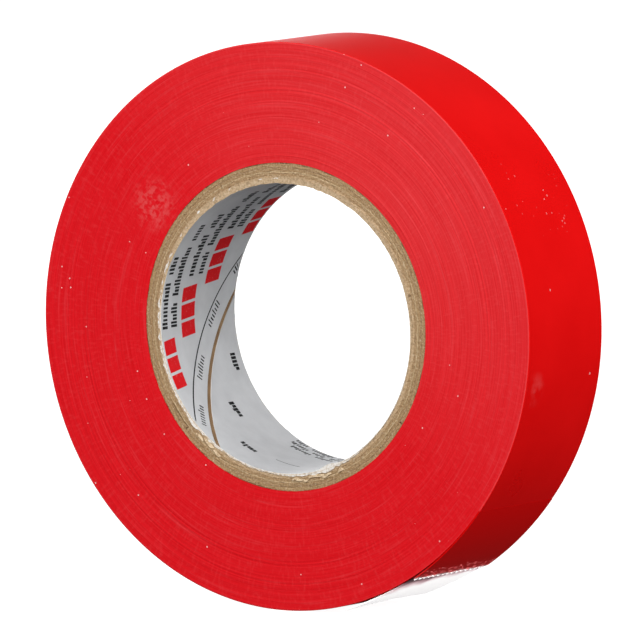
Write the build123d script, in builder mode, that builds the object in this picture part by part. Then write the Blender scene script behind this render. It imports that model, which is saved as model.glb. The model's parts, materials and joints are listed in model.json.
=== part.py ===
from build123d import *

# A roll of vinyl electrical tape on a spirally wound paperboard core, standing on its rim.
#
# The roll's axis is Y, +Z is up, and the origin is the middle of the core's bore. Angles round the
# axis are counted from +X towards +Z, so they run counter-clockwise as seen from the front, at -Y.
# The tape is one strip, wound clockwise from the core outwards. Its last stretch is lifted from the
# lap beneath and carries a plain film tab on its underside, for starting the tape.
# All lengths are millimetres and all angles are degrees.

import os
from math import cos, degrees, radians, sin

# ---- Driving dimensions -------------------------------------------------------------------------

tape_width = 18.0
film_thickness = 0.13  # the vinyl backing
adhesive_thickness = 0.025  # the coat on its inner side, which is the space between two laps
turns = 100  # complete turns from the core to the line where the end is lifted

core_bore_diameter = 38.0
core_recess = 0.1  # how far each edge of the core lies below the tape's face
liner_thickness = 0.12  # white printed paper on the inside of the core
ply_thickness = 0.52  # one kraft board ply
ply_count = 4
glue_line = 0.02  # between two plies of the core

helix_pitch = 100.0  # axial advance of a ply's seam in one full turn
liner_seam_gap = 1.1  # between the two edges of the liner strip
liner_seam_angle = -122.5  # where the liner's seam meets the front edge
ply_seam_gap = 0.3
first_ply_seam_angle = 15.0  # the same for the innermost kraft ply
ply_seam_step = 104.0  # turn from one ply's seam to the next one's

peel_angle = -37.0  # where the lifted end leaves the roll
end_length = 14.0  # lifted tape, from that line to the tips of its cut edge
end_lift = 0.2  # how far the cut edge stands off the lap beneath
tooth_count = 16  # notches that the dispenser's blade leaves across the width
tooth_depth = 0.6
tooth_flat = 0.1  # width of a tooth's tip

tab_thickness = 0.08
tab_bond_length = 3.0  # stuck under the lifted tape
tab_pull_length = 10.6  # free to be gripped
tab_side_inset = 0.2  # how far the tab's edges lie inside the tape's
tab_tip_lift = 0.5  # how far the tab's tip stands off the lap beneath
hinge_clearance = 0.02  # between two pieces that meet at a line of bending

# ---- Sizes worked out from them -----------------------------------------------------------------

core_width = tape_width - 2 * core_recess
liner_inner_radius = core_bore_diameter / 2
liner_outer_radius = liner_inner_radius + liner_thickness
core_outer_radius = liner_outer_radius + ply_count * (glue_line + ply_thickness)

lap_pitch = film_thickness + adhesive_thickness
# radii of the strip's inner face in its first half turn and in the one that the peel line ends
first_lap_radius = core_outer_radius + adhesive_thickness + lap_pitch / 4
last_lap_radius = first_lap_radius + turns * lap_pitch

cut_overrun = 1.0  # how far a cutting shape runs past what it cuts


def facing_plane(y):
    """The plane at that y whose local Y is +Z and whose normal points to the front."""
    return Plane(origin=(0, y, 0), x_dir=(1, 0, 0), z_dir=(0, -1, 0))


def winding_plane(angle, y):
    """The plane at that y whose local X points along the angle and whose local turns are clockwise
    as seen from the front, which is how the strip and the seams advance."""
    toward = (cos(radians(angle)), 0, sin(radians(angle)))
    return Plane(origin=(0, y, 0), x_dir=toward, z_dir=(0, 1, 0))


# ---- Core: a printed liner and the kraft plies, each with a helical seam ------------------------


def spiral_ply(inner_radius, thickness, seam_angle, seam_gap):
    """One ply of the core: a strip wound once round, whose two long edges leave a helical gap."""
    with BuildPart() as ply:
        with BuildSketch(facing_plane(core_width / 2)):
            Circle(inner_radius + thickness)
            Circle(inner_radius, mode=Mode.SUBTRACT)
        extrude(amount=core_width)
        # the gap is a bar swept along the seam's helix, which starts before the front edge
        start_angle = seam_angle + 360 * cut_overrun / helix_pitch
        start_plane = winding_plane(start_angle, -core_width / 2 - cut_overrun)
        with BuildLine(start_plane) as seam:
            Helix(
                pitch=helix_pitch,
                height=core_width + 2 * cut_overrun,
                radius=inner_radius + thickness / 2,
            )
        across = Plane(origin=seam.line @ 0, x_dir=start_plane.x_dir, z_dir=seam.line % 0)
        with BuildSketch(across):
            Rectangle(2 * thickness, seam_gap)
        sweep(path=seam.line, is_frenet=True, mode=Mode.SUBTRACT)
    return ply.part


core_liner = spiral_ply(liner_inner_radius, liner_thickness, liner_seam_angle, liner_seam_gap)
core_liner.label = "core_liner"

core_plies = []
for number in range(ply_count):
    ply_inner_radius = liner_outer_radius + glue_line + number * (ply_thickness + glue_line)
    ply_seam_angle = first_ply_seam_angle + number * ply_seam_step
    core_ply = spiral_ply(ply_inner_radius, ply_thickness, ply_seam_angle, ply_seam_gap)
    core_ply.label = f"core_ply_{number + 1}"
    core_plies.append(core_ply)

# ---- Wound tape: one strip, in half turns that grow by half a pitch -----------------------------


def half_turns(start_radius):
    """The arcs of one face of the strip. Half circles whose centres lie a quarter pitch to either
    side of the axis join smoothly, and each lap keeps the same distance from the one beneath."""
    for number in range(2 * turns):
        side = -1 if number % 2 == 0 else 1
        start = 0 if number % 2 == 0 else 180
        radius = start_radius + number * lap_pitch / 2
        yield CenterArc((side * lap_pitch / 4, 0), radius, start, 180)


with BuildPart() as tape_strip:
    with BuildSketch(winding_plane(peel_angle, -tape_width / 2)):
        with BuildLine():
            inner_arcs = list(half_turns(first_lap_radius))
            outer_arcs = list(half_turns(first_lap_radius + film_thickness))
            Line(inner_arcs[0] @ 0, outer_arcs[0] @ 0)
            Line(inner_arcs[-1] @ 1, outer_arcs[-1] @ 1)
        make_face()
    extrude(amount=tape_width)
tape_strip.part.label = "tape_strip"

# ---- Lifted end of the tape and its starter tab -------------------------------------------------
# The end springs open a little: its arc is flatter than the lap beneath, and leaves it smoothly at
# the peel line. The tab follows the tape as far as the cut edge, then curls back to the roll. A rise
# over an arc of length s is close to s * s / 2 times the difference of the two curvatures.

lap_curvature = 1 / last_lap_radius
end_curvature = lap_curvature - 2 * end_lift / end_length**2
end_radius = 1 / end_curvature  # of the end's inner face
end_turn = degrees(end_length / end_radius)
end_root_x = last_lap_radius - lap_pitch / 4  # on the winding plane's local X axis
end_centre = Vector(end_root_x - end_radius, 0)

tab_outer_radius = end_radius - adhesive_thickness
tab_rise_at_edge = end_lift - tab_thickness
tab_slope_at_edge = 2 * end_lift / end_length
tab_fall = tab_rise_at_edge + tab_slope_at_edge * tab_pull_length - tab_tip_lift
pull_radius = 1 / (lap_curvature + 2 * tab_fall / tab_pull_length**2)
edge_direction = Vector(cos(radians(end_turn)), sin(radians(end_turn)))
pull_centre = end_centre + edge_direction * (tab_outer_radius - pull_radius)


def curved_strip(centre, outer_radius, thickness, start_turn, turn, width):
    """A strip bent round a line parallel to the roll's axis, centred on the roll's width."""
    with BuildPart() as strip:
        with BuildSketch(winding_plane(peel_angle, -width / 2)):
            with BuildLine():
                outer = CenterArc(centre, outer_radius, start_turn, turn)
                inner = CenterArc(centre, outer_radius - thickness, start_turn, turn)
                Line(inner @ 0, outer @ 0)
                Line(inner @ 1, outer @ 1)
            make_face()
        extrude(amount=width)
    return strip.part


def turn_of(length, radius):
    return degrees(length / radius)


end_root_gap = turn_of(hinge_clearance, end_radius)
edge_point = winding_plane(peel_angle, 0).from_local_coords(
    end_centre + edge_direction * (end_radius + film_thickness)
)
edge_outward = winding_plane(peel_angle, 0).from_local_coords(edge_direction)
tooth_pitch = tape_width / tooth_count

with BuildPart() as tape_end:
    add(
        curved_strip(
            end_centre,
            end_radius + film_thickness,
            film_thickness,
            end_root_gap,
            end_turn - end_root_gap,
            tape_width,
        )
    )
    # the sketch lies flat on the film at its cut edge: local X is the roll's axis, and local Y
    # points back along the tape
    with BuildSketch(Plane(origin=edge_point, x_dir=(0, 1, 0), z_dir=edge_outward)):
        with GridLocations(tooth_pitch, tooth_pitch, tooth_count, 1):
            with BuildLine():
                half_mouth = (tooth_pitch - tooth_flat) / 2
                Polyline(
                    (0, tooth_depth), (half_mouth, 0), (-half_mouth, 0), (0, tooth_depth)
                )
            make_face()
    extrude(amount=cut_overrun, both=True, mode=Mode.SUBTRACT)
tape_end.part.label = "tape_end"

tab_width = tape_width - 2 * tab_side_inset
bond_start = turn_of(end_length - tab_bond_length, end_radius)
tab_bonded_end = curved_strip(
    end_centre, tab_outer_radius, tab_thickness, bond_start, end_turn - bond_start, tab_width
)
tab_bonded_end.label = "tab_bonded_end"

pull_gap = turn_of(hinge_clearance, pull_radius)
pull_turn = turn_of(tab_pull_length, pull_radius)
tab_pull_end = curved_strip(
    pull_centre, pull_radius, tab_thickness, end_turn + pull_gap, pull_turn - pull_gap, tab_width
)
tab_pull_end.label = "tab_pull_end"

# ---- Write the pieces ---------------------------------------------------------------------------

os.makedirs("parts", exist_ok=True)
for piece in [core_liner, *core_plies, tape_strip.part, tape_end.part, tab_bonded_end, tab_pull_end]:
    export_step(piece, f"parts/{piece.label}.step")

# The lines that the moving pieces bend about, for the joints.
peel_line = winding_plane(peel_angle, 0).from_local_coords(
    Vector(end_root_x + film_thickness, 0)
)
tab_line = winding_plane(peel_angle, 0).from_local_coords(
    end_centre + edge_direction * tab_outer_radius
)
print("peel line at x, z", round(peel_line.X, 4), round(peel_line.Z, 4))
print("tab line at x, z", round(tab_line.X, 4), round(tab_line.Z, 4))
print("tape length, m", round(sum(arc.length for arc in inner_arcs) / 1000, 2))
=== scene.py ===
import json
from math import cos, pi, radians, sin

import bmesh
import bpy
import numpy as np
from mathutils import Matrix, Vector


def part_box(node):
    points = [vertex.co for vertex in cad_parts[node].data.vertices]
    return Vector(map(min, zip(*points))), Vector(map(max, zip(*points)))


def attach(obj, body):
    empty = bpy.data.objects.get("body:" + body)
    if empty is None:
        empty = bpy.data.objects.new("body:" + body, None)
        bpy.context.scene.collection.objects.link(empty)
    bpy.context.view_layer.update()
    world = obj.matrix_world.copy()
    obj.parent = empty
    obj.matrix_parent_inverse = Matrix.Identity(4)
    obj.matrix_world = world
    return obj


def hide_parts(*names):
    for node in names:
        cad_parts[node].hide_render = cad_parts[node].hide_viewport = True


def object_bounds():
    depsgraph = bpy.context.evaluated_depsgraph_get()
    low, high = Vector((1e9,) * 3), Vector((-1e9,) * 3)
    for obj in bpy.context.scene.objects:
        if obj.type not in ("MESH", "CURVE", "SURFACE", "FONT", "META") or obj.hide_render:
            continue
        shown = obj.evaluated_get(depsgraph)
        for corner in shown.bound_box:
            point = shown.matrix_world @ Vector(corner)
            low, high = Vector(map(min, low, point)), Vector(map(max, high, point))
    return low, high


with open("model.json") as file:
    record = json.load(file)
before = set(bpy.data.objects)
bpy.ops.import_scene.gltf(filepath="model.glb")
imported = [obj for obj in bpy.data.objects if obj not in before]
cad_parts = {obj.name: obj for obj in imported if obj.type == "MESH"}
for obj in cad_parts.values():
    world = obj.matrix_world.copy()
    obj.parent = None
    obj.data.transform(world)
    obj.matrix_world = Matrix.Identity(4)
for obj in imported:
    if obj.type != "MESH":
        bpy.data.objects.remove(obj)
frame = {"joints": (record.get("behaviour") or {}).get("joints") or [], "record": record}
cad_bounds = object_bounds()

# ---- Camera and studio ----------------------------------------------------------------------------
# A long lens looks at the roll from the right of its front face and a little above. The roll stands on
# a white floor, between soft lights at its right side, in front and behind on the left.

view_azimuth = radians(32.0)
view_elevation = radians(5.69)
view_distance = 2.0
view_direction = Vector((
    sin(view_azimuth) * cos(view_elevation),
    -cos(view_azimuth) * cos(view_elevation),
    sin(view_elevation),
))
camera_data = bpy.data.cameras.new("camera")
camera_data.lens = 869.0  # millimetres, for a sensor 36 mm wide
camera_data.shift_x = -0.0028
camera_data.shift_y = 0.0020
camera_data.clip_end = 50
camera = bpy.data.objects.new("camera", camera_data)
camera.location = view_direction * view_distance
camera.rotation_euler = (-view_direction).to_track_quat("-Z", "Y").to_euler()
bpy.context.collection.objects.link(camera)
bpy.context.scene.camera = camera
bpy.context.scene.view_settings.view_transform = "Standard"


def colour(hex_value):
    """The linear colour of an sRGB hex value, from the curve that the sRGB standard gives."""
    channels = [int(hex_value[place:place + 2], 16) / 255 for place in (1, 3, 5)]
    linear = [c / 12.92 if c <= 0.04045 else ((c + 0.055) / 1.055) ** 2.4 for c in channels]
    return (*linear, 1.0)


def add(tree, kind, links=None, values=None, **settings):
    """Adds a node of that kind, sets its properties and its inputs' values, and links its inputs to
    the outputs given. Inputs are named by their name or number."""
    made = tree.nodes.new(kind)
    for name, value in settings.items():
        setattr(made, name, value)
    for name, value in (values or {}).items():
        made.inputs[name].default_value = value
    for name, output in (links or {}).items():
        tree.links.new(output, made.inputs[name])
    return made


def new_material(name):
    """An empty material with its tree, its Principled shader and the shader's object coordinates.
    They are in metres, so the scale of a pattern on them is the number of its cells in a metre."""
    made = bpy.data.materials.new(name)
    made.use_nodes = True
    tree = made.node_tree
    place = add(tree, "ShaderNodeTexCoord")
    return made, tree, tree.nodes["Principled BSDF"], place.outputs["Object"]


# painted board, swept white: matt and even, and lit so brightly that hardly any shadow is left on it
floor_size = 8.0
floor_material, _, shader, _ = new_material("white_painted_board")
shader.inputs["Base Color"].default_value = (0.3, 0.3, 0.3, 1)
shader.inputs["Roughness"].default_value = 0.9
shader.inputs["Emission Color"].default_value = (1, 1, 1, 1)
shader.inputs["Emission Strength"].default_value = 0.97
floor_mesh = bpy.data.meshes.new("studio_floor")
floor_half = floor_size / 2
floor_level = cad_bounds[0][2]
floor_mesh.from_pydata(
    [(x * floor_half, y * floor_half, floor_level) for x, y in ((-1, -1), (1, -1), (1, 1), (-1, 1))],
    [],
    [(0, 1, 2, 3)],
)
floor_mesh.materials.append(floor_material)
floor = bpy.data.objects.new("studio_floor", floor_mesh)
bpy.context.collection.objects.link(floor)
floor.visible_diffuse = False
floor.visible_glossy = False

# the room: a soft white in front and above, that fades to dark behind and below
world = bpy.data.worlds.new("studio")
world.use_nodes = True
bpy.context.scene.world = world
tree = world.node_tree
way = add(tree, "ShaderNodeSeparateXYZ", {0: add(tree, "ShaderNodeTexCoord").outputs["Generated"]})
upward = add(
    tree, "ShaderNodeMapRange", {0: way.outputs["Z"]},
    {"From Min": -0.6, "From Max": 0.3, "To Min": 0.24, "To Max": 1.0},
)
forward = add(
    tree, "ShaderNodeMapRange", {0: way.outputs["Y"]},
    {"From Min": 0.1, "From Max": 0.8, "To Min": 0.40, "To Max": 0.09},
)
glow = add(
    tree, "ShaderNodeMath", {0: upward.outputs[0], 1: forward.outputs[0]}, operation="MULTIPLY"
)
tree.nodes["Background"].inputs["Color"].default_value = (1, 1, 1, 1)
tree.links.new(glow.outputs[0], tree.nodes["Background"].inputs["Strength"])


def soft_light(name, azimuth, elevation, distance, size, power):
    """A square area light on a sphere round the roll, facing its middle. Its azimuth, in degrees, is
    0 in front and grows to the right. Its distance and size are in metres, its power in watts."""
    around, above = radians(azimuth), radians(elevation)
    direction = Vector((sin(around) * cos(above), -cos(around) * cos(above), sin(above)))
    data = bpy.data.lights.new(name, "AREA")
    data.size = size
    data.energy = power
    light = bpy.data.objects.new(name, data)
    light.location = direction * distance
    light.rotation_euler = (-direction).to_track_quat("-Z", "Y").to_euler()
    bpy.context.collection.objects.link(light)
    return light


soft_light("light_side", 84, 5, 0.8, 0.7, 5.1)
soft_light("light_front", 12, 36, 0.7, 0.5, 3.8)
soft_light("light_back", 238, 16, 0.8, 0.7, 5.0)

# ---- Wound tape -----------------------------------------------------------------------------------
# Plasticised PVC film, calendered red, coated with adhesive and wound tight on the core. The rim shows
# the film's glossy face. The two flat sides show the slit edges of 100 laps, one beside the other.

laps = 100
strip_low, strip_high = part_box("tape_strip")
roll_front, roll_back = strip_low.y, strip_high.y
rim_radius = strip_high.x
core_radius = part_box("core_ply_4")[1].x
lap_pitch = (rim_radius - core_radius) / (laps + 1)
joints = {joint["name"]: joint for joint in frame["joints"]}
peel_place = Vector(joints["end_peel"]["pos_m"])
peel_angle = np.arctan2(peel_place.z, peel_place.x)
crease_angle = radians(35)  # between two faces, past which the edge they share is sharp


def carried(name, grids, closed=False):
    """One mesh from closed profiles carried along paths. Each grid is an array [station, point, xyz].
    A face joins a point to the next one round the profile, and both to the same two at the next
    station. A closed path joins its last station to its first; an open one is capped at both ends."""
    vertices, faces = [], []
    start = 0
    for grid in grids:
        stations, points = grid.shape[:2]
        number = start + np.arange(stations * points).reshape(stations, points)
        here = number if closed else number[:-1]
        there = np.roll(number, -1, axis=0) if closed else number[1:]
        quads = np.stack(
            [here, np.roll(here, -1, axis=1), np.roll(there, -1, axis=1), there], axis=-1
        )
        faces += quads.reshape(-1, 4).tolist()
        if not closed:
            faces += [number[0].tolist(), number[-1].tolist()]
        vertices.append(grid.reshape(-1, 3))
        start += stations * points
    mesh = bpy.data.meshes.new(name)
    mesh.from_pydata(np.concatenate(vertices).tolist(), [], faces)
    shell = bmesh.new()
    shell.from_mesh(mesh)
    bmesh.ops.recalc_face_normals(shell, faces=shell.faces)
    shell.to_mesh(mesh)
    shell.free()
    mesh.shade_smooth()
    mesh.set_sharp_from_angle(angle=crease_angle)
    piece = bpy.data.objects.new(name, mesh)
    bpy.context.collection.objects.link(piece)
    return piece


def turned(angle, radius, along):
    """Points in the roll's frame at an angle from +X towards +Z, a radius from the axis and a place
    along it. The three arrays are spread over one another."""
    angle, radius, along = np.broadcast_arrays(angle, radius, along)
    return np.stack([radius * np.cos(angle), along, radius * np.sin(angle)], axis=-1)


def waves(angle, seed, count, lowest, highest):
    """A smooth uneven line round the axis, between about -1 and 1: a sum of sines with whole numbers
    of waves in a turn, each with its own phase and a height that falls as its number grows."""
    chance = np.random.default_rng(seed)
    numbers = chance.integers(lowest, highest + 1, count)
    phases = chance.uniform(0, 2 * pi, count)
    heights = (numbers / lowest) ** -0.5
    total = sum(h * np.sin(n * angle + p) for n, p, h in zip(numbers, phases, heights))
    return total / heights.sum() * 1.6


side_rings = 150
rim_rings = 9
turn_stations = 240
lap_unevenness = 0.00003  # how far one lap's edge stands out past another's
lap_recess = 0.00002  # of the middle of the edges, behind the front and back of the roll
rim_rounding = 0.00006


def lap_edges(seed):
    """Heights of the slit edges on one side, [station, ring]: every ring has its own height, and a
    slow change round the turn that neighbouring rings share."""
    chance = np.random.default_rng(seed)
    own = chance.normal(0, 0.35, side_rings)
    shared = np.convolve(chance.normal(0, 1.0, side_rings + 12), np.ones(13) / 5, "valid")
    drift = np.stack([waves(turn_angle, seed + k, 5, 1, 6) for k in range(4)], axis=1)
    blend = np.stack([np.interp(np.arange(side_rings), np.linspace(0, side_rings, 4), row)
                      for row in np.eye(4)], axis=0)
    return lap_unevenness * (own + 0.5 * shared + 0.6 * drift @ blend)


turn_share = np.linspace(0, 1, turn_stations + 1)
turn_angle = peel_angle - turn_share * 2 * pi  # clockwise from the line where the end is lifted
top_lap = rim_radius - lap_pitch * (1 - turn_share)  # the rim grows by one lap in a turn
ring_share = np.linspace(0, 1, side_rings)
side_radius = core_radius + (top_lap[:, None] - rim_rounding - core_radius) * ring_share
rim_along = np.linspace(roll_front + rim_rounding, roll_back - rim_rounding, rim_rings)
front_edge = roll_front + lap_recess + np.clip(lap_edges(11), -lap_recess, None)
back_edge = roll_back - lap_recess - np.clip(lap_edges(23), -lap_recess, None)
profile_radius = np.concatenate(
    [side_radius, np.repeat(top_lap[:, None], rim_rings, axis=1), side_radius[:, ::-1]], axis=1
)
profile_along = np.concatenate(
    [front_edge, np.tile(rim_along, (turn_stations + 1, 1)), back_edge[:, ::-1]], axis=1
)
wound_tape = carried(
    "wound_tape", [turned(turn_angle[:, None], profile_radius, profile_along)], closed=True
)

# where each point is: the direction round the axis, and the number of its lap
ring_place = np.stack(np.broadcast_arrays(
    np.cos(turn_angle)[:, None],
    np.sin(turn_angle)[:, None],
    (profile_radius - core_radius) / lap_pitch,
), axis=-1)
attribute = wound_tape.data.attributes.new("ring_place", "FLOAT_VECTOR", "POINT")
attribute.data.foreach_set("vector", ring_place.astype(np.float32).ravel())


def set_stops(ramp, *stops):
    """Gives a colour ramp its stops, from the lowest up: each is a position and an sRGB hex value."""
    points = ramp.color_ramp.elements
    first, *between, last = stops
    for number, (position, hex_value) in enumerate((first, last)):
        points[number].position = position
        points[number].color = colour(hex_value)
    for position, hex_value in between:
        points.new(position).color = colour(hex_value)


def worn_spot(tree, place, middle, radius, strength, grain_scale):
    """How much a spot of wear shows, from none at its radius to its strength at its middle, broken up
    by a noise with that many cells in a metre."""
    away = add(
        tree, "ShaderNodeVectorMath", {0: place}, {1: middle}, operation="DISTANCE"
    )
    fade = add(
        tree, "ShaderNodeMapRange", {0: away.outputs["Value"]},
        {"From Min": radius, "From Max": 0.2 * radius, "To Min": 0.0, "To Max": strength},
    )
    grain = add(
        tree, "ShaderNodeTexNoise", {"Vector": place}, {"Scale": grain_scale, "Detail": 3.0}
    )
    broken = add(
        tree, "ShaderNodeMapRange", {0: grain.outputs["Fac"]}, {"From Min": 0.44, "From Max": 0.62}
    )
    shown = add(
        tree, "ShaderNodeMath", {0: fade.outputs[0], 1: broken.outputs[0]}, operation="MULTIPLY"
    )
    return shown.outputs[0]


haze_angle = radians(50)  # towards the part of the side that has been rubbed most
dust_colour = colour("#f59a9a")

# PVC film, slit edges: satin, a little paler than the film's face, with rings about one lap wide, short
# marks of the slitting knives across them, and specks of dust 0.2 mm across
slit_edges, tree, shader, place = new_material("pvc_film_slit_edges")
ring = add(tree, "ShaderNodeAttribute", attribute_name="ring_place").outputs["Vector"]
ring_scaled = add(tree, "ShaderNodeVectorMath", {0: ring}, {1: (2.2, 2.2, 0.9)}, operation="MULTIPLY")
ring_noise = add(
    tree, "ShaderNodeTexNoise", {"Vector": ring_scaled.outputs[0]},
    {"Scale": 1.0, "Detail": 4.0, "Roughness": 0.65},
)
arc_scaled = add(tree, "ShaderNodeVectorMath", {0: ring}, {1: (2.6, 2.6, 0.33)}, operation="MULTIPLY")
arc_noise = add(
    tree, "ShaderNodeTexNoise", {"Vector": arc_scaled.outputs[0]},
    {"Scale": 1.0, "Detail": 3.0, "Roughness": 0.7},
)
knife_scaled = add(
    tree, "ShaderNodeVectorMath", {0: ring}, {1: (95, 95, 0.16)}, operation="MULTIPLY"
)
knife_noise = add(
    tree, "ShaderNodeTexNoise", {"Vector": knife_scaled.outputs[0]},
    {"Scale": 1.0, "Detail": 2.0, "Roughness": 0.5},
)
ring_ramp = add(tree, "ShaderNodeValToRGB", {0: ring_noise.outputs["Fac"]})
set_stops(ring_ramp, (0.36, "#e0101a"), (0.66, "#ea1a24"))
arcs = add(
    tree, "ShaderNodeMapRange", {0: arc_noise.outputs["Fac"]},
    {"From Min": 0.55, "From Max": 0.74, "To Max": 0.26},
)
with_arcs = add(
    tree, "ShaderNodeMix", {0: arcs.outputs[0], 6: ring_ramp.outputs["Color"]},
    {7: colour("#f0545a")}, data_type="RGBA",
)
knife_marks = add(
    tree, "ShaderNodeMapRange", {0: knife_noise.outputs["Fac"]},
    {"From Min": 0.5, "From Max": 0.75, "To Max": 0.24},
)
with_marks = add(
    tree, "ShaderNodeMix", {0: knife_marks.outputs[0], 6: with_arcs.outputs[2]},
    {7: colour("#ee484c")}, data_type="RGBA",
)
haze_way = add(
    tree, "ShaderNodeVectorMath", {0: ring}, {1: (cos(haze_angle), sin(haze_angle), 0)},
    operation="DOT_PRODUCT",
)
haze = add(
    tree, "ShaderNodeMapRange", {0: haze_way.outputs["Value"]},
    {"From Min": 0.0, "From Max": 1.0, "To Min": 0.0, "To Max": 0.34},
)
haze_uneven = add(
    tree, "ShaderNodeMath", {0: haze.outputs[0], 1: ring_noise.outputs["Fac"]}, operation="MULTIPLY"
)
with_haze = add(
    tree, "ShaderNodeMix", {0: haze_uneven.outputs[0], 6: with_marks.outputs[2]},
    {7: colour("#f86a6c")}, data_type="RGBA",
)
# a painted highlight: the outermost laps paler, where the rounded edge of the rim would catch the light
lap_number = add(tree, "ShaderNodeSeparateXYZ", {0: ring})
rim_highlight = add(
    tree, "ShaderNodeMapRange", {0: lap_number.outputs["Z"]},
    {"From Min": laps - 1.2, "From Max": laps + 0.4, "To Min": 0.0, "To Max": 0.45},
)
with_rim_highlight = add(
    tree, "ShaderNodeMix", {0: rim_highlight.outputs[0], 6: with_haze.outputs[2]},
    {7: colour("#f4585a")}, data_type="RGBA",
)
scuff_place = turned(radians(143), 0.0250, roll_front).tolist()
scuff = worn_spot(tree, place, scuff_place, 0.0040, 0.32, 1500.0)
with_scuff = add(
    tree, "ShaderNodeMix", {0: scuff, 6: with_rim_highlight.outputs[2]},
    {7: colour("#f48a88")}, data_type="RGBA",
)
speck_cells = add(
    tree, "ShaderNodeTexVoronoi", {"Vector": place}, {"Scale": 760.0}, feature="F1"
)
speck_chance = add(tree, "ShaderNodeSeparateXYZ", {0: speck_cells.outputs["Color"]})
speck_chosen = add(
    tree, "ShaderNodeMath", {0: speck_chance.outputs[0]}, {1: 0.8}, operation="GREATER_THAN"
)
speck_near = add(
    tree, "ShaderNodeMath", {0: speck_cells.outputs["Distance"]}, {1: 0.08}, operation="LESS_THAN"
)
speck = add(
    tree, "ShaderNodeMath", {0: speck_chosen.outputs[0], 1: speck_near.outputs[0]},
    operation="MULTIPLY",
)
with_dust = add(
    tree, "ShaderNodeMix", {0: speck.outputs[0], 6: with_scuff.outputs[2]},
    {7: colour("#f7b9b9")}, data_type="RGBA",
)
heights = add(
    tree, "ShaderNodeMath", {0: ring_noise.outputs["Fac"], 1: knife_marks.outputs[0]},
    operation="ADD",
)
bump = add(
    tree, "ShaderNodeBump", {"Height": heights.outputs[0]}, {"Strength": 0.35, "Distance": 0.00004}
)
tree.links.new(with_dust.outputs[2], shader.inputs["Base Color"])
tree.links.new(bump.outputs["Normal"], shader.inputs["Normal"])
shader.inputs["Roughness"].default_value = 0.48
shader.inputs["IOR"].default_value = 1.53
shader.inputs["Specular IOR Level"].default_value = 0.08

# PVC film, calendered and glossy: saturated red with a soft sheen that is uneven in clouds 11 mm wide,
# a scatter of dust 0.3 mm across with one close cluster of it, and a pale patch of painted highlight
film_face, tree, shader, place = new_material("pvc_film_glossy")
film_noise = add(
    tree, "ShaderNodeTexNoise", {"Vector": place}, {"Scale": 90.0, "Detail": 3.0}
)
film_ramp = add(tree, "ShaderNodeValToRGB", {0: film_noise.outputs["Fac"]})
set_stops(film_ramp, (0.3, "#e60708"), (0.7, "#ee0c0d"))
dust_cells = add(tree, "ShaderNodeTexVoronoi", {"Vector": place}, {"Scale": 520.0}, feature="F1")
dust_chance = add(tree, "ShaderNodeSeparateXYZ", {0: dust_cells.outputs["Color"]})
dust_chosen = add(
    tree, "ShaderNodeMath", {0: dust_chance.outputs[0]}, {1: 0.965}, operation="GREATER_THAN"
)
dust_near = add(
    tree, "ShaderNodeMath", {0: dust_cells.outputs["Distance"]}, {1: 0.09}, operation="LESS_THAN"
)
dust = add(
    tree, "ShaderNodeMath", {0: dust_chosen.outputs[0], 1: dust_near.outputs[0]},
    operation="MULTIPLY",
)
with_dust = add(
    tree, "ShaderNodeMix", {0: dust.outputs[0], 6: film_ramp.outputs["Color"]},
    {7: dust_colour}, data_type="RGBA",
)
gloss = add(
    tree, "ShaderNodeMapRange", {0: film_noise.outputs["Fac"]},
    {"To Min": 0.24, "To Max": 0.34},
)
cluster_cells = add(
    tree, "ShaderNodeTexVoronoi", {"Vector": place}, {"Scale": 1000.0}, feature="F1"
)
cluster_near = add(
    tree, "ShaderNodeMath", {0: cluster_cells.outputs["Distance"]}, {1: 0.14}, operation="LESS_THAN"
)
cluster_place = turned(radians(29), rim_radius, 0.0).tolist()
cluster_spot = worn_spot(tree, place, cluster_place, 0.0075, 1.6, 380.0)
cluster = add(
    tree, "ShaderNodeMath", {0: cluster_near.outputs[0], 1: cluster_spot}, operation="MULTIPLY",
    use_clamp=True,
)
with_cluster = add(
    tree, "ShaderNodeMix", {0: cluster.outputs[0], 6: with_dust.outputs[2]},
    {7: dust_colour}, data_type="RGBA",
)
# the painted highlight: a pale patch on the right of the rim, where it would catch a soft reflection
highlight_patch_place = turned(radians(-10), rim_radius, 0.75 * roll_front).tolist()
highlight_patch = worn_spot(tree, place, highlight_patch_place, 0.0026, 0.3, 420.0)
with_highlight_patch = add(
    tree, "ShaderNodeMix", {0: highlight_patch, 6: with_cluster.outputs[2]},
    {7: colour("#f27070")}, data_type="RGBA",
)
tree.links.new(with_highlight_patch.outputs[2], shader.inputs["Base Color"])
tree.links.new(gloss.outputs[0], shader.inputs["Roughness"])
shader.inputs["IOR"].default_value = 1.53
shader.inputs["Specular IOR Level"].default_value = 0.08

wound_tape.data.materials.append(slit_edges)
wound_tape.data.materials.append(film_face)
profile_points = profile_radius.shape[1]
is_rim = np.arange(profile_points)
is_rim = (is_rim >= side_rings - 1) & (is_rim < side_rings + rim_rings)
wound_tape.data.polygons.foreach_set(
    "material_index", np.tile(is_rim, turn_stations + 1).astype(np.int32)
)
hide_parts("tape_strip")
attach(wound_tape, "roll")

# ---- Core plies -----------------------------------------------------------------------------------
# Four strips of kraft board, glued and wound in helices on a mandrel, then cut to width with a knife.
# The cut leaves a rough pile of fibres. It is pale at the bore and between the second ply and the
# third, and painted dark at its outer edge, as the shade where the core sits back behind the tape.

helix_pitch = 0.100  # axial advance of a seam in one full turn
core_front, core_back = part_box("core_liner")[0].y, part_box("core_liner")[1].y
ply_seam_gap = 0.0003
ply_seam_angles = [radians(15 + 104 * number) for number in range(4)]
ply_stations = 720
cut_points = 7  # across the thickness of a cut edge
fibre_height = 0.00005
ply_clearance = 0.000002  # off the ply inside, so that no two faces lie in one place
board_unevenness = 0.00022  # how far the colour of a ply strays into the next

# the end of the third strip has split away from the one inside it
split_ply = 2
split_stations = 20
split_points = 2
split_depth = 0.0006

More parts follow.
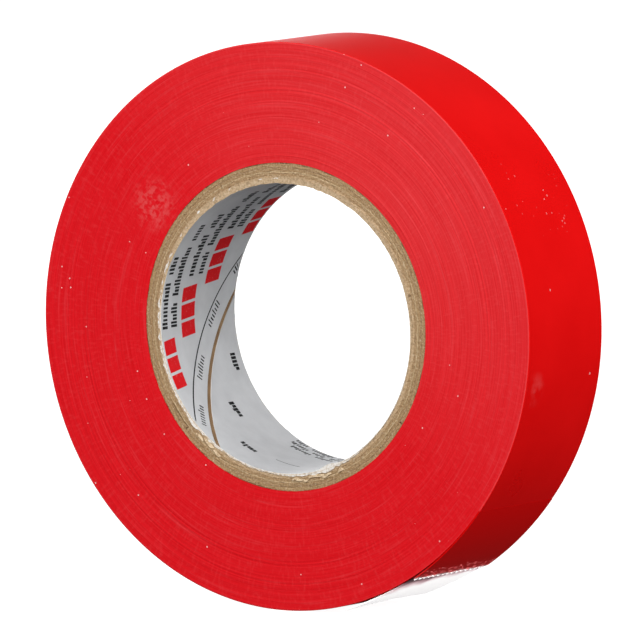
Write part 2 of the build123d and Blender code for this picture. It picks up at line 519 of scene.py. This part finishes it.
# rows across the width: close at the edges for the cut, and elsewhere near enough to keep the curve
ply_rows = np.concatenate([[0, 0.004, 0.012, 0.03], np.linspace(0.1, 0.9, 9), [0.97, 0.988, 0.996, 1]])


def fibre_pile(seed, height):
    """How far each point of a cut edge lies in from the plane of the cut, [station, point]: random
    heights averaged over three stations, so that a fibre is about half a millimetre long."""
    chance = np.random.default_rng(seed)
    rough = chance.normal(0.5, 1.0, (ply_stations + 2, cut_points))
    return height * (rough[:-2] + rough[1:-1] + rough[2:]) / 3


def ply_shell(inner, outer, seam_angle, seam_gap, rows, front_pile, back_pile):
    """A ply wound once round: its section, a rectangle, is carried round the axis, from one edge of
    the helical seam to the other. The seam's angle falls as it goes to the back, by a turn in each
    helix pitch. The points of the two cut edges, and those just beside them, move in by their pile."""
    middle = (inner + outer) / 2
    half_gap = seam_gap / middle / 2
    between = np.linspace(0, 1, cut_points)[1:-1]
    along = np.concatenate([rows, np.ones(cut_points - 2), rows[::-1], np.zeros(cut_points - 2)])
    depth = np.concatenate([np.zeros(len(rows)), between, np.ones(len(rows)), between[::-1]])
    column = np.rint(depth * (cut_points - 1)).astype(int)
    fade = 0.02  # share of the width over which the pile dies away
    pull = front_pile[:, column] * np.clip(1 - along / fade, 0, 1)
    pull = pull - back_pile[:, column] * np.clip(1 - (1 - along) / fade, 0, 1)
    flat = core_front + (core_back - core_front) * along
    swing = -2 * pi * (flat - core_front) / helix_pitch
    share = np.linspace(0, 1, ply_stations)[:, None]
    angle = seam_angle + swing + half_gap + share * (2 * pi - 2 * half_gap)
    return turned(angle, inner + (outer - inner) * depth, flat + pull)


# kraft board, cut with a knife: dull brown, speckled with darker and paler fibres. They are drawn
# 0.3 mm across, because a real one, a tenth of that, is too fine to show. Its clouds are 2.4 mm wide.
kraft_board, tree, shader, place = new_material("kraft_board_knife_cut")
fibre = add(
    tree, "ShaderNodeTexNoise", {"Vector": place},
    {"Scale": 3600.0, "Detail": 4.0, "Roughness": 0.75},
)
cloud = add(tree, "ShaderNodeTexNoise", {"Vector": place}, {"Scale": 420.0, "Detail": 3.0})
flat_place = add(tree, "ShaderNodeVectorMath", {0: place}, {1: (1, 0, 1)}, operation="MULTIPLY")
from_axis = add(tree, "ShaderNodeVectorMath", {0: flat_place.outputs[0]}, operation="LENGTH")
ragged = add(
    tree, "ShaderNodeMapRange", {0: cloud.outputs["Fac"]},
    {"To Min": -board_unevenness, "To Max": board_unevenness},
)
ragged_radius = add(
    tree, "ShaderNodeMath", {0: from_axis.outputs["Value"], 1: ragged.outputs[0]}, operation="ADD"
)
liner_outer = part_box("core_liner")[1].x
through_core = add(
    tree, "ShaderNodeMapRange", {0: ragged_radius.outputs[0]},
    {"From Min": liner_outer, "From Max": core_radius},
)
board_ramp = add(tree, "ShaderNodeValToRGB", {0: through_core.outputs[0]})
# the last stop is painted shade: a dark edge where the core sits back behind the tape's sides
set_stops(
    board_ramp, (0.0, "#cfb390"), (0.2, "#c9aa85"), (0.26, "#b0906a"), (0.43, "#b4956f"),
    (0.47, "#d3b993"), (0.51, "#ae8e67"), (0.69, "#b0906a"), (0.72, "#94765a"), (0.75, "#b3936b"),
    (0.94, "#b3936b"), (1.0, "#74553a"),
)
dark_fibre = add(
    tree, "ShaderNodeMapRange", {0: fibre.outputs["Fac"]},
    {"From Min": 0.5, "From Max": 0.34, "To Max": 0.6},
)
with_dark = add(
    tree, "ShaderNodeMix", {0: dark_fibre.outputs[0], 6: board_ramp.outputs["Color"]},
    {7: colour("#75593c")}, data_type="RGBA",
)
pale_fibre = add(
    tree, "ShaderNodeMapRange", {0: fibre.outputs["Fac"]},
    {"From Min": 0.54, "From Max": 0.68, "To Max": 0.5},
)
with_pale = add(
    tree, "ShaderNodeMix", {0: pale_fibre.outputs[0], 6: with_dark.outputs[2]},
    {7: colour("#ecdcc2")}, data_type="RGBA",
)
bump = add(
    tree, "ShaderNodeBump", {"Height": fibre.outputs["Fac"]}, {"Strength": 0.5, "Distance": 0.00005}
)
tree.links.new(with_pale.outputs[2], shader.inputs["Base Color"])
tree.links.new(bump.outputs["Normal"], shader.inputs["Normal"])
shader.inputs["Roughness"].default_value = 0.85
shader.inputs["Specular IOR Level"].default_value = 0.2

# kraft board, uncut: smooth, in its own darker brown with painted shade on top, for the bottom of the
# liner's seam, and faint clouds 2 mm wide
board_face, tree, shader, place = new_material("kraft_board_face")
face_cloud = add(tree, "ShaderNodeTexNoise", {"Vector": place}, {"Scale": 500.0, "Detail": 4.0})
face_ramp = add(tree, "ShaderNodeValToRGB", {0: face_cloud.outputs["Fac"]})
set_stops(face_ramp, (0.3, "#86694c"), (0.7, "#a08260"))
tree.links.new(face_ramp.outputs["Color"], shader.inputs["Base Color"])
shader.inputs["Roughness"].default_value = 0.7
shader.inputs["Specular IOR Level"].default_value = 0.2

for number in range(4):
    node_name = f"core_ply_{number + 1}"
    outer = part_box(node_name)[1].x
    inside = liner_outer if number == 0 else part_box(f"core_ply_{number}")[1].x
    front_pile = fibre_pile(40 + number, fibre_height)
    if number == split_ply:
        front_pile[-split_stations:, :split_points] += split_depth
    ply = carried(
        f"kraft_ply_{number + 1}",
        [ply_shell(inside + ply_clearance, outer, ply_seam_angles[number], ply_seam_gap, ply_rows,
                   front_pile, fibre_pile(50 + number, fibre_height))],
    )
    ply.data.materials.append(kraft_board)
    if number == 0:  # its inner face shows in the seam of the liner
        ply.data.materials.append(board_face)
        inner_face = np.arange(2 * (len(ply_rows) + cut_points - 2)) < len(ply_rows) - 1
        inner_faces = np.append(np.tile(inner_face, ply_stations - 1), [False, False])
        ply.data.polygons.foreach_set("material_index", inner_faces.astype(np.int32))
    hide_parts(node_name)
    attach(ply, "roll")

# ---- Liner ----------------------------------------------------------------------------------------
# White clay-coated paper, printed, wound with an open seam as the innermost layer of the core. The
# knife tears its edge, and leaves a ragged white lip, a few flakes over the cut of the plies, and fibres
# dragged from the innermost ply into the mouth of the bore.

mounts = {mount["name"]: mount for mount in frame["record"]["mounts"]}
bore_radius = mounts["core_bore"]["dims"]["r_mm"] / 1000
liner_seam_angle = radians(-122.5)
liner_seam_gap = 0.0011

# rows across the width: near enough for the bore to be round between two of them, under the print
liner_rows = np.concatenate(
    [[0, 0.004, 0.012, 0.02], np.linspace(0.03, 0.97, 30), [0.98, 0.988, 0.996, 1]]
)

# clay-coated paper: a cool white, smooth, with a faint sheen and very faint clouds 2.5 mm wide
coated_paper, tree, shader, place = new_material("clay_coated_paper_white")
paper_noise = add(tree, "ShaderNodeTexNoise", {"Vector": place}, {"Scale": 400.0, "Detail": 3.0})
paper_ramp = add(tree, "ShaderNodeValToRGB", {0: paper_noise.outputs["Fac"]})
set_stops(paper_ramp, (0.3, "#d2d3d5"), (0.7, "#dddee0"))
tree.links.new(paper_ramp.outputs["Color"], shader.inputs["Base Color"])
shader.inputs["Roughness"].default_value = 0.35
shader.inputs["Specular IOR Level"].default_value = 0.4

liner = carried(
    "printed_liner",
    [ply_shell(bore_radius, liner_outer, liner_seam_angle, liner_seam_gap, liner_rows,
               fibre_pile(71, 2 * fibre_height), fibre_pile(72, 2 * fibre_height))],
)
liner.data.materials.append(coated_paper)
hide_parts("core_liner")
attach(liner, "roll")

lip_stations = 1300
lip_thickness = 0.00003
lip_clearance = 0.000005  # off the plane of the cut
lip_least_width = 0.00003
lip_inner = bore_radius + 0.00001
lip_angle = np.linspace(0, 2 * pi, lip_stations, endpoint=False)
lip_degrees = np.degrees(lip_angle)
# how wide the lip is, as a share of its widest, from +X towards +Z: widest on the -X side
lip_shares = np.interp(
    lip_degrees,
    [0, 60, 100, 140, 180, 228, 240, 262, 278, 290, 298, 310, 360],
    [0.02, 0.05, 0.5, 0.9, 0.8, 0.9, 0.35, 0.2, 0.6, 0.9, 0.6, 0.03, 0.02],
)
lip_reach = 0.0004
# how far the lip hangs into the bore: it is lifted in one place
lip_hang = 0.0004 * np.exp(-((lip_degrees - 291) / 4.5) ** 2)

# the same for the fibres that the knife dragged out of the innermost ply, most of them at the top
dragged_reach = 0.0005
dragged_shares = np.interp(
    lip_degrees,
    [0, 35, 70, 105, 140, 165, 200, 340, 360],
    [0.3, 0.6, 0.9, 1.0, 0.8, 0.4, 0.0, 0.0, 0.3],
)
dragged_hang = 0.00052 * np.interp(
    lip_degrees,
    [0, 30, 60, 90, 125, 150, 175, 340, 360],
    [0.3, 0.55, 0.85, 1.0, 0.8, 0.35, 0.0, 0.0, 0.3],
)
dragged_front = core_front - lip_thickness


def torn_lip(edge, outward, seed, inner_radius, shares, reach, hang):
    """A thin leaf round the mouth of the bore: its section, flat against the cut at the bore and
    lifted a little at its outer edge, is carried round the axis. Its outer edge is out by the reach and
    its inner edge in by the hang, times a ragged line: random numbers averaged over a few stations."""
    chance = np.random.default_rng(seed)
    rough = chance.uniform(0, 1, lip_stations + 8)
    ragged_edge = np.convolve(rough, np.ones(4) / 4, "same")[4:-4] * 0.6
    ragged_edge = ragged_edge + np.convolve(rough, np.ones(9) / 9, "valid") * 0.7
    width = lip_least_width + reach * shares * np.clip(2.2 * ragged_edge - 0.75, 0, 1.2)
    rise = 0.00001 + 0.00006 * ragged_edge * np.clip(shares * 2, 0, 1)
    across = np.array([0, 0.5, 1, 1, 0.5, 0])
    above = np.array([0, 0, 0, 1, 1, 1]) * lip_thickness
    inner = (inner_radius - hang * (0.75 + 0.4 * ragged_edge))[:, None]
    outer = (liner_outer + width)[:, None]
    radius = inner + (outer - inner) * across
    along = edge + outward * (lip_clearance + rise[:, None] * across ** 2 + above)
    return turned(lip_angle[:, None], radius, along)


def paper_flake(degrees, radius, length, width, seed):
    """A small torn flake on the cut: a thin strip, widest in its middle, carried along a short arc
    whose radius wanders. Its angle is in degrees from +X towards +Z."""
    chance = np.random.default_rng(seed)
    stations = 24
    run = np.linspace(-0.5, 0.5, stations)[:, None]
    taper = np.sqrt(np.clip(1 - (2 * run) ** 2, 0.02, 1)) * chance.uniform(0.75, 1, (stations, 1))
    wander = 0.00009 * np.sin(6 * run + chance.uniform(0, 6))
    across = np.array([-0.5, 0.5, 0.5, -0.5]) * width * taper
    above = np.array([0, 0, 1, 1]) * lip_thickness
    lean = np.array([0, 1, 1, 0]) * 0.00009 * taper  # one edge is lifted further than the other
    along = core_front - 0.000015 - 0.00001 * taper - lean - above
    return turned(radians(degrees) + run * length / radius, radius + wander + across, along)


def torn_fibres(name, shaded_hex, pale_hex):
    """The material of a torn edge of paper or board: matt, with darker gaps between its fibres. They
    are drawn in tufts 0.4 mm wide, because single ones are too fine to show."""
    made, tree, shader, place = new_material(name)
    noise = add(
        tree, "ShaderNodeTexNoise", {"Vector": place},
        {"Scale": 2600.0, "Detail": 4.0, "Roughness": 0.7},
    )
    ramp = add(tree, "ShaderNodeValToRGB", {0: noise.outputs["Fac"]})
    set_stops(ramp, (0.34, shaded_hex), (0.52, pale_hex))
    tree.links.new(ramp.outputs["Color"], shader.inputs["Base Color"])
    shader.inputs["Roughness"].default_value = 0.95
    shader.inputs["Specular IOR Level"].default_value = 0.1
    return made


torn_paper = torn_fibres("torn_paper_fibres", "#cbb89f", "#f4efe8")
torn_board = torn_fibres("torn_kraft_fibres", "#a78660", "#e8d0ae")
lip = carried(
    "torn_liner_lip",
    [torn_lip(core_front, -1, 81, lip_inner, lip_shares, lip_reach, lip_hang)],
    closed=True,
)
back_shares = np.full(lip_stations, 0.3)  # even all round
back_lip = carried(
    "torn_liner_lip_back",
    [torn_lip(core_back, 1, 82, lip_inner, back_shares, lip_reach, lip_hang)],
    closed=True,
)
dragged_fibres = carried(
    "dragged_board_fibres",
    [torn_lip(dragged_front, -1, 83, liner_outer, dragged_shares, dragged_reach, dragged_hang)],
    closed=True,
)
flakes = carried("torn_board_flakes", [
    paper_flake(-84.5, 0.01978, 0.0017, 0.00040, 1),
    paper_flake(-80.5, 0.01992, 0.0011, 0.00030, 2),
    paper_flake(-76.0, 0.01962, 0.0026, 0.00046, 3),
    paper_flake(-71.5, 0.01988, 0.0016, 0.00038, 4),
    paper_flake(-65.0, 0.01992, 0.0010, 0.00050, 5),
    paper_flake(-131.0, 0.01985, 0.0015, 0.00040, 6),
    paper_flake(-126.5, 0.01958, 0.0020, 0.00050, 7),
    paper_flake(-121.5, 0.01990, 0.0014, 0.00042, 8),
])
for piece, material, slot in (
    (lip, torn_paper, "liner_paper"),
    (back_lip, torn_paper, "liner_paper"),
    (dragged_fibres, kraft_board, "kraft_board"),
    (flakes, torn_board, "kraft_board"),
):
    piece.data.materials.append(material)
    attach(piece, "roll")

# ---- Print on the liner ---------------------------------------------------------------------------
# Flexographic ink, a few thousandths of a millimetre thick, printed on the paper before it was wound.
# It is a generic pattern of bars: no letters, numbers or mark of any kind.

ink_thickness = 0.000008
least_bar = 0.0001  # a bar that is cut shorter than this along the axis is left out
print_step = np.array([0.00665, 0.0051])  # from one repeat to the next: clockwise, and to the back
print_limit = 0.0003  # how far the print keeps inside the torn edges
print_slope = radians(38.5)  # of the lines printed along the strip


def print_place(angle, share):
    """A place on the unrolled liner: the clockwise arc from +X, and the distance along the axis, for
    an angle in degrees and a share of the half width, from -1 at the front to 1 at the back."""
    return np.array([-radians(angle) * bore_radius, share * roll_back])


def ink_bar(start, length, height, slope=0.0, lean=0.0):
    """A flat bar of ink on the bore: its section, a thin rectangle, is carried along a straight line
    of the unrolled paper that climbs to the back by the slope. Its ends lean by that angle."""
    stations = 2 + int(length / 0.0008)  # one in each 0.8 mm, so that a long bar follows the bore
    run = np.linspace(0, length, stations)[:, None]
    across = np.array([0, height, height, 0])[None, :]
    radius = bore_radius + ink_thickness * np.array([1, 1, -1, -1])
    shifted = run + across * np.tan(lean)
    clockwise = start[0] + shifted * cos(slope) - across * sin(slope)
    along = start[1] + shifted * sin(slope) + across * cos(slope)
    return turned(-clockwise / bore_radius, radius[None, :], along)


def ink_words(start, strokes, pitch, height, weight, slope, seed):
    """A row of upright strokes in groups, as a stand-in for words: each group has that many strokes,
    one pitch apart, whose heights are picked from three, and a gap of two pitches follows it."""
    chance = np.random.default_rng(seed)
    bars = []
    place = 0
    for count in strokes:
        for number in range(count):
            rise = height * chance.choice([0.68, 0.72, 1.0])
            at = start + (place + number) * pitch * np.array([cos(slope), sin(slope)])
            bars.append(ink_bar(at, pitch * weight * chance.uniform(0.85, 1.15), rise, slope))
        place += count + 2
    return bars


red_bars, black_bars = [], []
for repeat in range(4):
    shift = repeat * print_step
    mark = print_place(-152.6, -0.66) + shift
    for number in range(3):
        red_bars.append(ink_bar(mark + [number * 0.0023, 0], 0.0019, -0.0032, lean=0.12))
    black_bars += ink_words(
        print_place(-175.8, -0.82) + shift, (12, 5), 0.00052, -0.0014, 0.66, 0.0, 5 + repeat
    )
    black_bars += ink_words(
        print_place(-176.2, -0.57) + shift, (7, 15, 6), 0.00046, -0.0014, 0.68, 0.0, 15 + repeat
    )
    black_bars += ink_words(
        print_place(-133.6, -0.80) + shift, (8,), 0.00050, -0.00105, 0.42, print_slope, 25 + repeat
    )
    black_bars += ink_words(
        print_place(-115.4, -0.30) + shift, (5,), 0.00050, -0.00115, 0.8, 0.0, 35 + repeat
    )
for row, strokes in enumerate(((6, 9, 5), (9, 5, 7), (5, 7, 8))):
    black_bars += ink_words(
        print_place(-91.0 + 1.5 * row, 0.95 - 0.14 * row), strokes, 0.00038, -0.0009, 0.62, 0.0,
        45 + row,
    )
black_bars.append(ink_bar(print_place(-96.0, -0.24), 0.0038, 0.00012))
black_bars.append(ink_bar(print_place(-137.1, -0.965), 0.0278, 0.00022, print_slope))


def on_paper(bars):
    """The bars that lie on the paper, cut off where they would cross its torn edges."""
    kept = []
    for bar in bars:
        bar[..., 1] = np.clip(bar[..., 1], core_front + print_limit, core_back - print_limit)
        if np.ptp(bar[..., 1]) > least_bar:
            kept.append(bar)
    return kept


def ink_material(name, hex_value):
    """Printing ink: flat colour with a faint gloss, thinner in the paper's dips, 0.3 mm apart."""
    made, tree, shader, place = new_material(name)
    grain = add(tree, "ShaderNodeTexNoise", {"Vector": place}, {"Scale": 3000.0, "Detail": 2.0})
    thin = add(
        tree, "ShaderNodeMapRange", {0: grain.outputs["Fac"]},
        {"From Min": 0.6, "From Max": 0.85, "To Max": 0.2},
    )
    mixed = add(
        tree, "ShaderNodeMix", {0: thin.outputs[0]},
        {6: colour(hex_value), 7: colour("#e9e9ea")}, data_type="RGBA",
    )
    tree.links.new(mixed.outputs[2], shader.inputs["Base Color"])
    shader.inputs["Roughness"].default_value = 0.45
    shader.inputs["Specular IOR Level"].default_value = 0.3
    return made


for ink_name, bars, hex_value in (("red", red_bars, "#ea1820"), ("black", black_bars, "#101012")):
    ink = carried("print_" + ink_name, on_paper(bars))
    ink.data.materials.append(ink_material("flexographic_ink_" + ink_name, hex_value))
    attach(ink, "roll")

# ---- Tape end -------------------------------------------------------------------------------------
# The last of the same film, torn off on the teeth of a dispenser's blade and sprung a little off the
# roll. The blade stretched the tips of the teeth pale; their white is also a painted glint, and the
# paler flecks and sheen in the film beside them are painted highlights.

film_thickness = 0.00013
end_length = 0.014
end_lift = 0.0002
tooth_count = 16
tooth_depth = 0.0006
torn_length = 0.0003  # of film beside the teeth that was torn rough
sheen_length = 0.0035  # of film beside the teeth that is painted with a paler sheen
bend_gap = 0.00002
peel_radius = np.hypot(peel_place.x, peel_place.z)
end_root = peel_radius - film_thickness
end_radius = 1 / (1 / end_root - 2 * end_lift / end_length ** 2)


def wound_place(centre, radius, turn, along):
    """Points on an arc about a centre given along and across the direction of the peel line, at a
    radius and a clockwise turn from that direction, spread over the places along the axis."""
    out = centre[0] + radius * np.cos(turn)
    clockwise = centre[1] + radius * np.sin(turn)
    out, clockwise, along = np.broadcast_arrays(out, clockwise, along)
    x = out * np.cos(peel_angle) + clockwise * np.sin(peel_angle)
    z = out * np.sin(peel_angle) - clockwise * np.cos(peel_angle)
    return np.stack([x, along, z], axis=-1)


def there_and_back(shares):
    """The shares of the length once out along a film's outer face and once back along its inner one,
    and which of the points are on the outer face."""
    return np.concatenate([shares, shares[::-1]]), np.repeat([True, False], len(shares))


end_rows = np.concatenate([np.linspace(0, 0.9, 24), np.linspace(0.92, 1, 9)])  # closer at the cut
end_shares, end_outside = there_and_back(end_rows)
tooth_stations = 4 * tooth_count
tooth_share = np.linspace(0, 1, tooth_stations + 1)
chance = np.random.default_rng(3)
tooth_wave = 1 - 2 * np.abs((tooth_share * tooth_count + 0.5) % 1 - 0.5)
tooth_reach = end_length - tooth_depth * tooth_wave * chance.uniform(0.7, 1.15, tooth_stations + 1)
end_run = bend_gap + end_shares[None, :] * (tooth_reach[:, None] - bend_gap)
end_turned = end_run / end_radius
end_distance = end_radius + film_thickness * end_outside[None, :]
tape_width = roll_back - roll_front
end_along = roll_front + tape_width * tooth_share[:, None]
end_centre = (end_root - end_radius, 0.0)
tape_end = carried("tape_end_film", [wound_place(end_centre, end_distance, end_turned, end_along)])

# how torn the outer face is, and how much painted sheen it has, at each point, from 0 to 1
torn = np.clip((end_run - tooth_reach.min()) / torn_length + 1, 0, 1) * end_outside[None, :]
painted_sheen = np.clip(1 - (end_length - end_run) / sheen_length, 0, 1) ** 2 * end_outside[None, :]
for name, values in (("torn", torn), ("painted_sheen", painted_sheen)):
    attribute = tape_end.data.attributes.new(name, "FLOAT", "POINT")
    attribute.data.foreach_set("value", values.astype(np.float32).ravel())

# PVC film, torn: the same glossy red, painted paler beside the teeth as a sheen, and white where
# it tore, stretched pale and painted as a glint, in patches about half a tooth wide
torn_film, tree, shader, place = new_material("pvc_film_torn_end")
torn_here = add(tree, "ShaderNodeAttribute", attribute_name="torn").outputs["Fac"]
torn_grain = add(tree, "ShaderNodeTexNoise", {"Vector": place}, {"Scale": 1500.0, "Detail": 3.0})
torn_much = add(
    tree, "ShaderNodeMath", {0: torn_here, 1: torn_grain.outputs["Fac"]}, operation="MULTIPLY"
)
# white where the film tore: stretched pale, and painted white as the glint on the tips
torn_glint_ramp = add(tree, "ShaderNodeValToRGB", {0: torn_much.outputs[0]})
set_stops(torn_glint_ramp, (0.32, "#e80405"), (0.42, "#fdf0ee"))
# a painted sheen: the film paler beside the teeth, as light bounces off it there
sheen_here = add(tree, "ShaderNodeAttribute", attribute_name="painted_sheen").outputs["Fac"]
sheen_amount = add(
    tree, "ShaderNodeMath", {0: torn_grain.outputs["Fac"], 1: sheen_here}, operation="MULTIPLY"
)
with_sheen = add(
    tree, "ShaderNodeMix", {0: sheen_amount.outputs[0], 6: torn_glint_ramp.outputs["Color"]},
    {7: colour("#f06868")}, data_type="RGBA",
)
tree.links.new(with_sheen.outputs[2], shader.inputs["Base Color"])
shader.inputs["Roughness"].default_value = 0.3
shader.inputs["IOR"].default_value = 1.53
shader.inputs["Specular IOR Level"].default_value = 0.08
tape_end.data.materials.append(torn_film)
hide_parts("tape_end")
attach(tape_end, "loose_end")

# the tips of the teeth, stretched pale and painted white as their glint, one short strip on each:
# it stands just proud of the film's face
tip_length = 0.00024
tip_rise = 0.00003
tip_overhang = 0.00002  # past the torn edge of the film
tip_spread = np.linspace(-0.36, 0.36, 5)  # across a tooth, in teeth
tip_strips = []
for tooth in range(tooth_count):
    share = ((tooth + 0.5 + tip_spread * chance.uniform(0.7, 1.2)) / tooth_count)[:, None]
    reach = np.interp(share, tooth_share, tooth_reach) + tip_overhang
    run = reach + np.array([-1, 0, 0, -1]) * tip_length * chance.uniform(0.6, 1.1)
    distance = end_radius + film_thickness + tip_rise * np.array([1, 1, -1, -1])
    tip_along = roll_front + tape_width * share
    tip_strips.append(wound_place(end_centre, distance[None, :], run / end_radius, tip_along))
glinting_tips = carried("pale_glinting_tooth_tips", tip_strips)

# flecks of painted highlight on the film beside the cut: the nearer the cut, the closer together
fleck_count = 150
fleck_rise = 0.000012
fleck_nearest = 0.0002
fleck_spread = 0.0019
chance = np.random.default_rng(9)
fleck_strips = []
for _ in range(fleck_count):
    start = chance.uniform(0.01, 0.985)
    width = chance.uniform(0.00008, 0.00032)
    share = np.array([[start], [start + width / tape_width]])
    from_teeth = fleck_nearest + fleck_spread * chance.uniform() ** 1.7
    reach = np.interp(start, tooth_share, tooth_reach) - from_teeth
    run = reach + np.array([-1, 0, 0, -1]) * chance.uniform(0.00007, 0.0002)
    distance = end_radius + film_thickness + fleck_rise * np.array([1, 1, -1, -1])
    fleck_along = roll_front + tape_width * share
    fleck_strips.append(wound_place(end_centre, distance[None, :], run / end_radius, fleck_along))
highlight_flecks = carried("painted_highlight_flecks", fleck_strips)

# PVC film, stretched until it turned pale, and painted white as the glint on the tips: white with
# pink left in spots 0.4 mm wide, and rougher than the face
glint_film, tree, shader, place = new_material("pvc_film_pale_painted_glint")
stretch_noise = add(tree, "ShaderNodeTexNoise", {"Vector": place}, {"Scale": 2400.0, "Detail": 2.0})
glint_ramp = add(tree, "ShaderNodeValToRGB", {0: stretch_noise.outputs["Fac"]})
set_stops(glint_ramp, (0.3, "#e8c4c2"), (0.5, "#ffffff"))
tree.links.new(glint_ramp.outputs["Color"], shader.inputs["Base Color"])
shader.inputs["Roughness"].default_value = 0.6
shader.inputs["Specular IOR Level"].default_value = 0.3

# PVC film with painted highlights: the red painted paler, in spots 0.6 mm wide
highlight_fleck_film, tree, shader, place = new_material("pvc_film_painted_highlight_rose")
pull_noise = add(tree, "ShaderNodeTexNoise", {"Vector": place}, {"Scale": 1800.0, "Detail": 2.0})
fleck_highlight_ramp = add(tree, "ShaderNodeValToRGB", {0: pull_noise.outputs["Fac"]})
set_stops(fleck_highlight_ramp, (0.35, "#c41a22"), (0.62, "#dc7c7c"))
tree.links.new(fleck_highlight_ramp.outputs["Color"], shader.inputs["Base Color"])
shader.inputs["Roughness"].default_value = 0.5
shader.inputs["Specular IOR Level"].default_value = 0.2
for piece, material in ((glinting_tips, glint_film), (highlight_flecks, highlight_fleck_film)):
    piece.data.materials.append(material)
    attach(piece, "loose_end")

# ---- Starter tab ----------------------------------------------------------------------------------
# Thin white polyester film, stuck under the tape's end. It stands a little off the roll, with a crease
# halfway across. A small lamp from below lights it alone, with the tips of the teeth and the flecks.

tab_thickness = 0.00008
adhesive_thickness = 0.000025
tab_bond_length = 0.003
tab_pull_length = 0.0106
tab_radius = end_radius - adhesive_thickness
tab_front, tab_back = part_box("tab_pull_end")[0].y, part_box("tab_pull_end")[1].y
tab_width_share = np.linspace(0, 1, 41)[:, None]
tab_along = tab_front + (tab_back - tab_front) * tab_width_share
tab_rows = np.append(np.linspace(0, 0.985, 30), 1)  # the last two mark out the free edge
tab_shares, tab_outside = there_and_back(tab_rows)

bonded_run = end_length - tab_bond_length * (1 - tab_shares[None, :])
bonded_distance = tab_radius - tab_thickness * (1 - tab_outside[None, :])
bonded_tab = carried(
    "bonded_tab_film",
    [wound_place(end_centre, bonded_distance, bonded_run / end_radius, tab_along)],
)

tab_rise = end_lift - tab_thickness
tab_slope = 2 * end_lift / end_length
tab_tip_lift = 0.0005
tab_fall = tab_rise + tab_slope * tab_pull_length - tab_tip_lift
pull_radius = 1 / (1 / end_root + 2 * tab_fall / tab_pull_length ** 2)
edge_turn = end_length / end_radius
edge_way = np.array([np.cos(edge_turn), np.sin(edge_turn)])
pull_centre = np.array(end_centre) + edge_way * (tab_radius - pull_radius)
# the crease halfway across: the free edge turns there, and the film stands lowest
edge_change = np.interp(tab_width_share, [0, 0.5, 1], [0.0011, -0.0009, -0.0007])
tip_change = np.interp(tab_width_share, [0, 0.5, 1], [-0.00002, -0.0002, -0.0001])
pull_length = tab_pull_length + edge_change
pull_run = bend_gap + tab_shares[None, :] * (pull_length - bend_gap)
halfway_sag = 0.00016  # how far the tab falls towards the roll halfway along
pull_sag = tip_change * tab_shares ** 2 - 4 * halfway_sag * tab_shares * (1 - tab_shares)
pull_distance = pull_radius + pull_sag - tab_thickness * (1 - tab_outside)
pull_tab = carried(
    "pull_tab_film",
    [wound_place(pull_centre, pull_distance, edge_turn + pull_run / pull_radius, tab_along)],
)
# how far the painted shadow beside the cut has faded: the millimetres from the cut, counted slower at
# the front, and painted shade on the free edge
shade_fade = pull_run * 1000 * np.interp(tab_width_share, [0, 0.35, 1], [0.28, 0.55, 1.6])
free_edge_shade_fade = 0.75
shade_fade = np.where(tab_shares == 1, free_edge_shade_fade, shade_fade)
attribute = pull_tab.data.attributes.new("from_cut", "FLOAT", "POINT")
attribute.data.foreach_set("value", shade_fade.astype(np.float32).ravel())

# polyester film, white and smooth, with a painted shadow of the tape's end beside the cut and a pink
# painted reflection of the red film, in clouds 3 mm wide
tab_film, tree, shader, place = new_material("polyester_film_white")
from_cut = add(tree, "ShaderNodeAttribute", attribute_name="from_cut").outputs["Fac"]
shade_clouds = add(tree, "ShaderNodeTexNoise", {"Vector": place}, {"Scale": 350.0, "Detail": 3.0})
uneven = add(
    tree, "ShaderNodeMath", {0: shade_clouds.outputs["Fac"], 1: from_cut}, operation="MULTIPLY"
)
tab_shade_ramp = add(tree, "ShaderNodeValToRGB", {0: uneven.outputs[0]})
set_stops(
    tab_shade_ramp, (0.0, "#24181a"), (0.12, "#5a4044"), (0.3, "#a8868c"), (0.65, "#e4d2d4"),
    (1.0, "#fbf9f9"),
)
tree.links.new(tab_shade_ramp.outputs["Color"], shader.inputs["Base Color"])
shader.inputs["Roughness"].default_value = 0.3
shader.inputs["Specular IOR Level"].default_value = 0.4
for piece, node_name, body in (
    (bonded_tab, "tab_bonded_end", "loose_end"),
    (pull_tab, "tab_pull_end", "pull_tab"),
):
    piece.data.materials.append(tab_film)
    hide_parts(node_name)
    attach(piece, body)

lit_tab = bpy.data.collections.new("lit_tab")
for piece in (bonded_tab, pull_tab, glinting_tips, highlight_flecks):
    lit_tab.objects.link(piece)
tab_lamp = soft_light("light_tab", 40, -40, 0.3, 0.25, 1.5)
tab_lamp.light_linking.receiver_collection = lit_tab
tab_lamp.light_linking.blocker_collection = lit_tab
